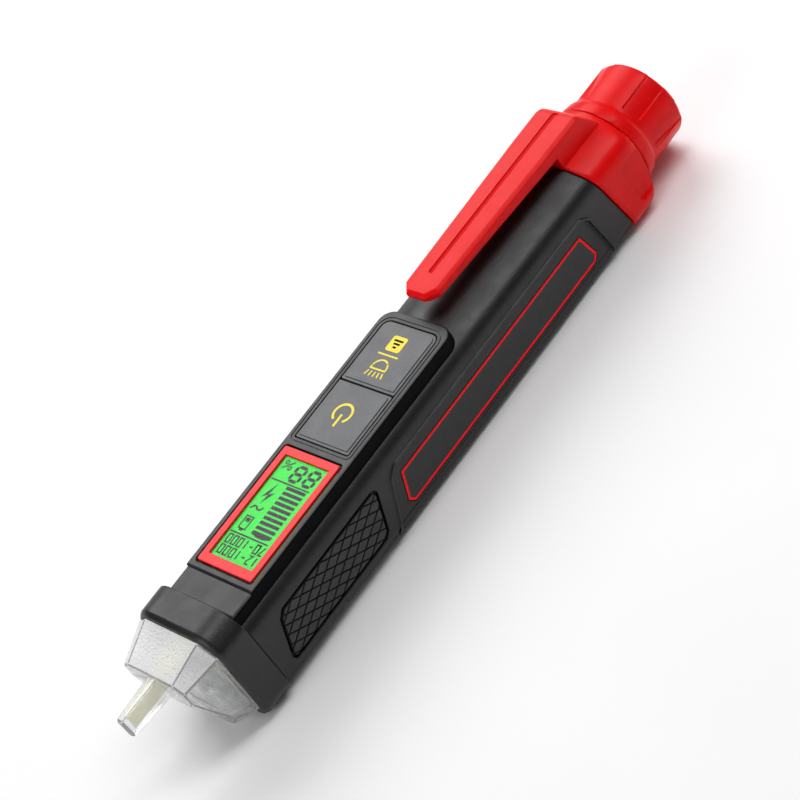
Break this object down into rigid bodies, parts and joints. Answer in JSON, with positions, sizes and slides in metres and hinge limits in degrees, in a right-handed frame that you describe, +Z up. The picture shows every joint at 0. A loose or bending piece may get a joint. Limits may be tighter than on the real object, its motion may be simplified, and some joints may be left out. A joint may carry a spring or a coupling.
{
  "type": "non contact voltage tester",
  "caption": "Pen-shaped voltage tester: clear nose with probe blade, display and keys on a raised bezel, side grips, pocket clip and ribbed screw-on battery cap.",
  "frame": {"origin": "middle of the base, under the middle of the pen's length, as it lies on its back with the display up", "axes": "+X along the pen from the probe to the battery cap, +Y across it, +Z up out of the display"},
  "size_m": [0.1542, 0.022, 0.0255],
  "materials": {
    "body_plastic": "fine-grained black moulded plastic",
    "bezel_plastic": "satin dark grey moulded plastic",
    "key_plastic": "matte grey key caps with printed yellow icons",
    "red_plastic": "satin red moulded plastic",
    "clear_plastic": "clear polycarbonate",
    "grip_rubber": "black rubber with a diamond lattice",
    "seal_rubber": "black rubber",
    "label_plastic": "dark printed panel with a red outline",
    "sensor_cream": "pale yellow coated antenna strip",
    "diffuser": "light-spreading sheet",
    "lcd_glass": "green backlit liquid crystal cell",
    "circuit_board": "green solder mask",
    "nickel": "nickel-plated spring steel",
    "screw_steel": "black-zinc steel",
    "reflector_chrome": "bright reflector",
    "led_epoxy": "water-clear epoxy",
    "warning_epoxy": "red epoxy",
    "buzzer_case": "black moulded case",
    "cell_sleeve": "plain printed sleeve with bare ends",
    "cradle_plastic": "black moulded cradle"
  },
  "bodies": {
    "pen": {"main_housing": "body_plastic", "back_cover": "body_plastic", "cover_screw_1": "screw_steel", "cover_screw_2": "screw_steel", "cover_screw_3": "screw_steel", "cover_screw_4": "screw_steel", "nose_band": "body_plastic", "clear_nose": "clear_plastic", "grip_pad_left": "grip_rubber", "grip_pad_right": "grip_rubber", "label_panel_left": "label_plastic", "label_panel_right": "label_plastic", "display_bezel": "bezel_plastic", "display_frame": "red_plastic", "display_window": "clear_plastic", "lcd_cell": "lcd_glass", "lcd_backlight": "diffuser", "power_switch_base": "nickel", "light_switch_base": "nickel", "nose_sensor": "sensor_cream", "main_board": "circuit_board", "nose_board": "circuit_board", "torch_led": "led_epoxy", "torch_reflector": "reflector_chrome", "warning_led": "warning_epoxy", "buzzer": "buzzer_case", "battery_cradle": "cradle_plastic", "front_contact": "nickel", "battery_front": "cell_sleeve", "battery_rear": "cell_sleeve", "return_strip": "nickel", "tail_collar": "red_plastic"},
    "power_key_body": {"power_key": "key_plastic", "power_switch_plunger": "buzzer_case"},
    "light_key_body": {"light_key": "key_plastic", "light_switch_plunger": "buzzer_case"},
    "clip": {"pocket_clip": "red_plastic"},
    "cap_contacts": {"cap_contact": "nickel", "battery_spring": "nickel"},
    "cap": {"tail_cap": "red_plastic", "cap_seal": "seal_rubber"}
  },
  "joints": [
    {"name": "power_key_press", "type": "slide", "parent": "pen", "child": "power_key_body", "axis": [0, 0, -1], "range_m": [0, 0.0004], "stiffness_N_per_m": 2500},
    {"name": "light_key_press", "type": "slide", "parent": "pen", "child": "light_key_body", "axis": [0, 0, -1], "range_m": [0, 0.0004], "stiffness_N_per_m": 2500},
    {"name": "clip_flex", "type": "hinge", "parent": "pen", "child": "clip", "pos_m": [0.0506, 0, 0.0239], "axis": [0, 1, 0], "range_deg": [0, 5], "stiffness_Nm_per_rad": 2},
    {"name": "cap_travel", "type": "slide", "parent": "pen", "child": "cap_contacts", "axis": [1, 0, 0], "range_m": [0, 0.00501]},
    {"name": "cap_turn", "type": "hinge", "parent": "cap_contacts", "child": "cap", "pos_m": [0.0636, 0, 0.0102], "axis": [1, 0, 0], "range_deg": [0, 900]}
  ],
  "couplings": [
    {"joint": "cap_travel", "follows": "cap_turn", "m_per_rad": 0.00031831}
  ]
}
